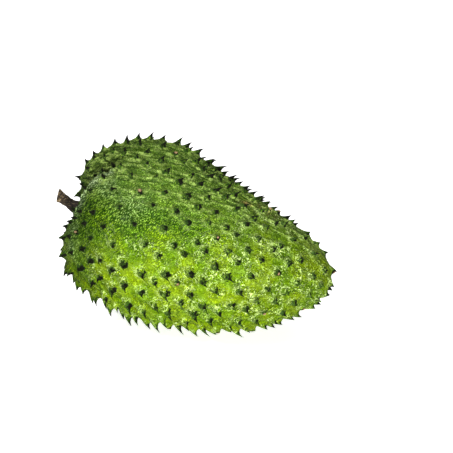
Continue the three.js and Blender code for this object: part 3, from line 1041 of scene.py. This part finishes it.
    def roughness(self):
        skin = self.span(self.off_loop, ROUGH_OVER, ROUGHNESS)
        spine = self.span(self.attribute("away"), SPINE_ROUGH_REACH, SPINE_ROUGHNESS)
        return self.math("MAXIMUM", skin, spine)


def skin_paint():
    paint = SkinPaint()
    paint.lay_ground()
    paint.lay_folds()
    paint.lay_patches()
    paint.lay_grains()
    paint.lay_cord_highlights()
    paint.lay_spines()
    paint.shader.inputs["Specular IOR Level"].default_value = SPECULAR_LEVEL
    paint.shader.inputs["Specular Tint"].default_value = WAX_TINT
    return paint.finish(Base_Color=paint.colour, Roughness=paint.roughness(), Normal=paint.bumps())


# ------------------------------------------------------------------ the bark's paint

BARK_DARK = colour(0.010, 0.006, 0.005)
BARK_BROWN = colour(0.075, 0.050, 0.022)
BARK_OCHRE = colour(0.43, 0.31, 0.16)
FIBRE_SIZE = 1.2
FIBRE_STRETCH = (3, 1, 1)
BROWN_OVER = (0.4, 0.55)
OCHRE_OVER = (0.55, 0.64)
OCHRE_SHARE = (0, 0.9)
STAIN_SIZE = 5
STAIN_OVER = (0.45, 0.7)
STAIN_SHARE = (0, 0.5)
DARK_SHARE_NEAR = 0.75         # the bark darkens toward the fruit
BARK_ROUGHNESS = 0.9
BARK_BUMP = 1.2


def bark_paint():
    paint = Paint("soursop_bark")
    place = paint.stretched(FIBRE_STRETCH)
    fibre = paint.noise(FIBRE_SIZE, detail=4, roughness=0.65, place=place)
    stain = paint.noise(STAIN_SIZE)
    bark = paint.mix(paint.span(fibre, BROWN_OVER), BARK_DARK, BARK_BROWN)
    bark = paint.mix(paint.span(fibre, OCHRE_OVER, OCHRE_SHARE), bark, BARK_OCHRE)
    bark = paint.mix(paint.span(stain, STAIN_OVER, STAIN_SHARE), bark, BARK_DARK)
    bark = paint.mix(paint.times(paint.attribute("near"), DARK_SHARE_NEAR), bark, BARK_DARK)
    relief = paint.bump(fibre, BARK_BUMP)
    return paint.finish(Base_Color=bark, Roughness=BARK_ROUGHNESS, Normal=relief)


# ------------------------------------------------------------------ the studio

VIEW_AZIMUTH = 19              # degrees from the front, toward the blossom end
VIEW_ELEVATION = 25
VIEW_DISTANCE = 1.2            # metres, as are the next two
VIEW_RIGHT = 0.0230            # the picture's middle is this far right of the body's
VIEW_UP = 0.0052               # and this far above it
LENS = 119.2                   # mm
SENSOR_WIDTH = 36              # mm
SEES_TO = 20                   # metres

FLOOR_HALF = 3000              # mm
FLOOR_BELOW = 0.2              # mm below the part, so that the two don't coincide
FLOOR_WHITE = colour(0.9, 0.9, 0.9)
FLOOR_ROUGHNESS = 0.9
FLOOR_GLOW = 0.8
WORLD_WHITE = colour(1, 1, 1)
WORLD_GLOW = 0.14

# Square soft lights that face the fruit. Azimuth is in degrees from the front, elevation in
# degrees up, and distance and size in metres.
LIGHTS = {
    "front": {"azimuth": 28, "elevation": 4, "distance": 1.1, "size": 0.34, "watts": 17.6},
    "side": {"azimuth": -52, "elevation": 46, "distance": 1.1, "size": 0.16, "watts": 10},
    "top": {"azimuth": 150, "elevation": 78, "distance": 1.5, "size": 1.6, "watts": 11.3},
}


def body_middle():
    return Vector((CENTRE_X, CENTRE_Y, LIFT)) * MM


def way_out(azimuth, elevation):
    """The direction from the fruit at this many degrees from the front and up."""
    turn, rise = math.radians(azimuth), math.radians(elevation)
    return Vector((
        math.sin(turn) * math.cos(rise), -math.cos(turn) * math.cos(rise), math.sin(rise)
    ))


def facing(way):
    """The rotation with which a camera or light looks along this way."""
    return way.to_track_quat("-Z", "Y").to_euler()


def make_floor():
    half, low = FLOOR_HALF, -FLOOR_BELOW
    corners = [(-half, -half, low), (half, -half, low), (half, half, low), (-half, half, low)]
    floor = new_object("floor", np.array(corners), [(0, 1, 2, 3)])
    paint = Paint("floor_paint")
    paint.shader.inputs["Emission Color"].default_value = FLOOR_WHITE
    paint.shader.inputs["Emission Strength"].default_value = FLOOR_GLOW
    floor.data.materials.append(paint.finish(Base_Color=FLOOR_WHITE, Roughness=FLOOR_ROUGHNESS))
    floor.visible_glossy = False


def make_camera():
    back = way_out(VIEW_AZIMUTH, VIEW_ELEVATION)
    turn = math.radians(VIEW_AZIMUTH)
    right = Vector((math.cos(turn), math.sin(turn), 0))
    up = back.cross(right)
    data = bpy.data.cameras.new("camera")
    data.lens = LENS
    data.sensor_width = SENSOR_WIDTH
    data.clip_end = SEES_TO
    camera = bpy.data.objects.new("camera", data)
    camera.location = body_middle() + back * VIEW_DISTANCE
    target = body_middle() + right * VIEW_RIGHT + up * VIEW_UP
    camera.rotation_euler = facing(target - camera.location)
    bpy.context.scene.collection.objects.link(camera)
    bpy.context.scene.camera = camera


def make_light(name, azimuth, elevation, distance, size, watts):
    way = way_out(azimuth, elevation)
    data = bpy.data.lights.new(name, "AREA")
    data.shape = "SQUARE"
    data.size = size
    data.energy = watts
    light = bpy.data.objects.new(name, data)
    light.location = body_middle() + way * distance
    light.rotation_euler = facing(-way)
    light.visible_camera = False
    bpy.context.scene.collection.objects.link(light)


def make_world():
    world = bpy.data.worlds.new("studio")
    world.use_nodes = True
    background = world.node_tree.nodes["Background"]
    background.inputs["Color"].default_value = WORLD_WHITE
    background.inputs["Strength"].default_value = WORLD_GLOW
    bpy.context.scene.world = world


def make_studio():
    make_floor()
    make_camera()
    make_world()
    for name, light in LIGHTS.items():
        make_light(name, **light)
    bpy.context.scene.view_settings.view_transform = "Standard"


# ------------------------------------------------------------------ the whole scene


def dress(piece, node, material):
    """Put the piece in the place of its CAD node."""
    piece.data.materials.append(material)
    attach(piece, "root")
    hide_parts(node)


dress(make_fruit(), "fruit", skin_paint())
dress(make_stem(), "stem", bark_paint())
make_studio()
